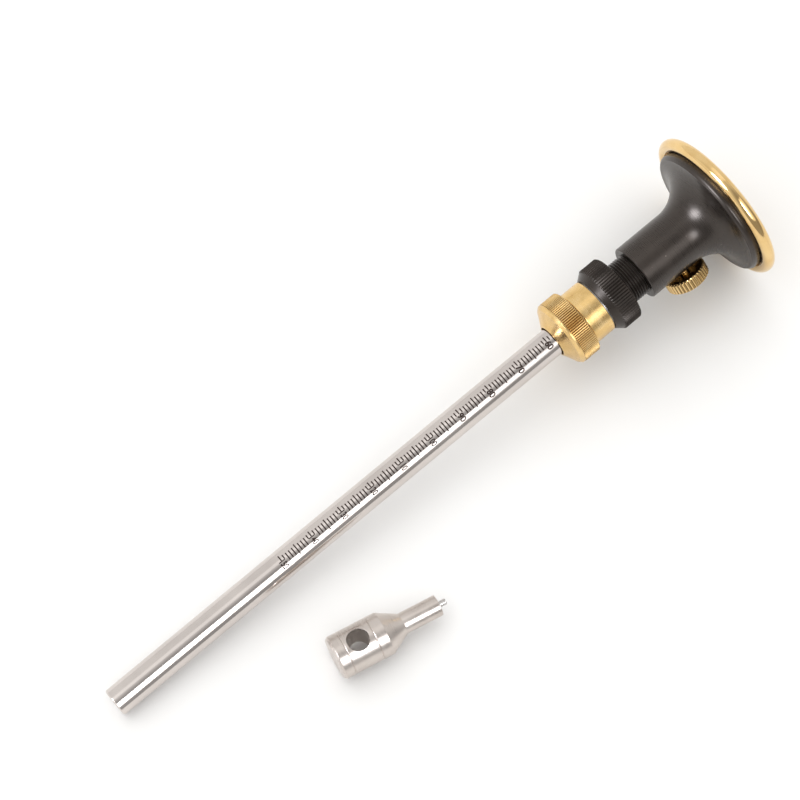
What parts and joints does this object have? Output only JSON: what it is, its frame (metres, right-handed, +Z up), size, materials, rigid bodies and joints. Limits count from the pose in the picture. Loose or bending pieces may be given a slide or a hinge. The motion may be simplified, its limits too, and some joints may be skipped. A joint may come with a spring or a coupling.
{
  "type": "wheel marking gauge",
  "caption": "Round-bar wheel marking gauge: flared fence with brass face, fine screw adjuster, collet lock, graduated steel bar; small turned key beside it.",
  "frame": {"origin": "middle of the underside of the whole object as it lies on a table", "axes": "+X along the bar toward the head, seen from above; +Z up from the table"},
  "size_m": [0.2086, 0.0586, 0.0442],
  "materials": {
    "black_anodised": "satin black anodised, fine turned",
    "polished_brass": "polished, lightly handled",
    "satin_brass": "fine turned satin with slight tarnish",
    "bar_steel": "ground stainless, fine lengthwise grain",
    "hard_steel": "hardened and ground",
    "pad_nylon": "natural nylon"
  },
  "bodies": {
    "head": {"fence_body": "black_anodised", "face_plate": "polished_brass", "face_plate_screws": "hard_steel"},
    "screw_pad": {"thumbscrew_pad": "pad_nylon"},
    "thumbscrew": {"thumbscrew": "polished_brass"},
    "collet_carrier": {"adjuster_washer": "hard_steel", "collet_clip": "hard_steel"},
    "adjuster": {"adjuster_sleeve": "black_anodised", "adjuster_ring": "black_anodised"},
    "collet": {"collet_body": "satin_brass"},
    "bar": {"bar": "bar_steel", "cutter_screw": "hard_steel"},
    "wheel": {"cutter_wheel": "hard_steel"},
    "cone_ring": {"collet_cone_ring": "satin_brass"},
    "nut": {"collet_nut": "satin_brass"},
    "key": {"key_handle": "bar_steel", "key_bit": "hard_steel"}
  },
  "joints": [
    {"name": "pad_travel", "type": "slide", "parent": "head", "child": "screw_pad", "axis": [0.0614, -0.7193, -0.6919], "range_m": [0, 0.001]},
    {"name": "thumbscrew_turn", "type": "hinge", "parent": "screw_pad", "child": "thumbscrew", "pos_m": [0.08419, 0.00076, 0.01451], "axis": [0.0614, -0.7193, -0.6919], "range_deg": [-0.5, 720.5]},
    {"name": "micro_travel", "type": "slide", "parent": "head", "child": "collet_carrier", "axis": [-0.9961, 0, -0.0884], "range_m": [-0.0025, 0.0025]},
    {"name": "adjuster_turn", "type": "hinge", "parent": "collet_carrier", "child": "adjuster", "pos_m": [0.06616, 0.00709, 0.01905], "axis": [-0.9961, 0, -0.0884], "range_deg": [-1200.5, 1200.5]},
    {"name": "collet_turn", "type": "hinge", "parent": "collet_carrier", "child": "collet", "pos_m": [0.10123, 0.00709, 0.02216], "axis": [-0.9961, 0, -0.0884], "continuous": true},
    {"name": "bar_slide", "type": "slide", "parent": "collet", "child": "bar", "axis": [0.9961, 0, 0.0884], "range_m": [0, 0.14]},
    {"name": "wheel_turn", "type": "hinge", "parent": "bar", "child": "wheel", "pos_m": [0.10123, 0.00709, 0.02216], "axis": [-0.9961, 0, -0.0884], "continuous": true},
    {"name": "cone_travel", "type": "slide", "parent": "collet", "child": "cone_ring", "axis": [-0.9961, 0, -0.0884], "range_m": [0, 0.00225]},
    {"name": "nut_turn", "type": "hinge", "parent": "cone_ring", "child": "nut", "pos_m": [0.05197, 0.00709, 0.01779], "axis": [-0.9961, 0, -0.0884], "range_deg": [-0.5, 1080.5]},
    {"name": "key_aside", "type": "slide", "parent": "head", "child": "key", "axis": [0, -1, 0], "range_m": [0, 0.05]}
  ],
  "couplings": [
    {"joint": "thumbscrew_turn", "follows": "pad_travel", "rad_per_m": 12566},
    {"joint": "adjuster_turn", "follows": "micro_travel", "rad_per_m": 8377.6},
    {"joint": "nut_turn", "follows": "cone_travel", "rad_per_m": 8377.6}
  ]
}
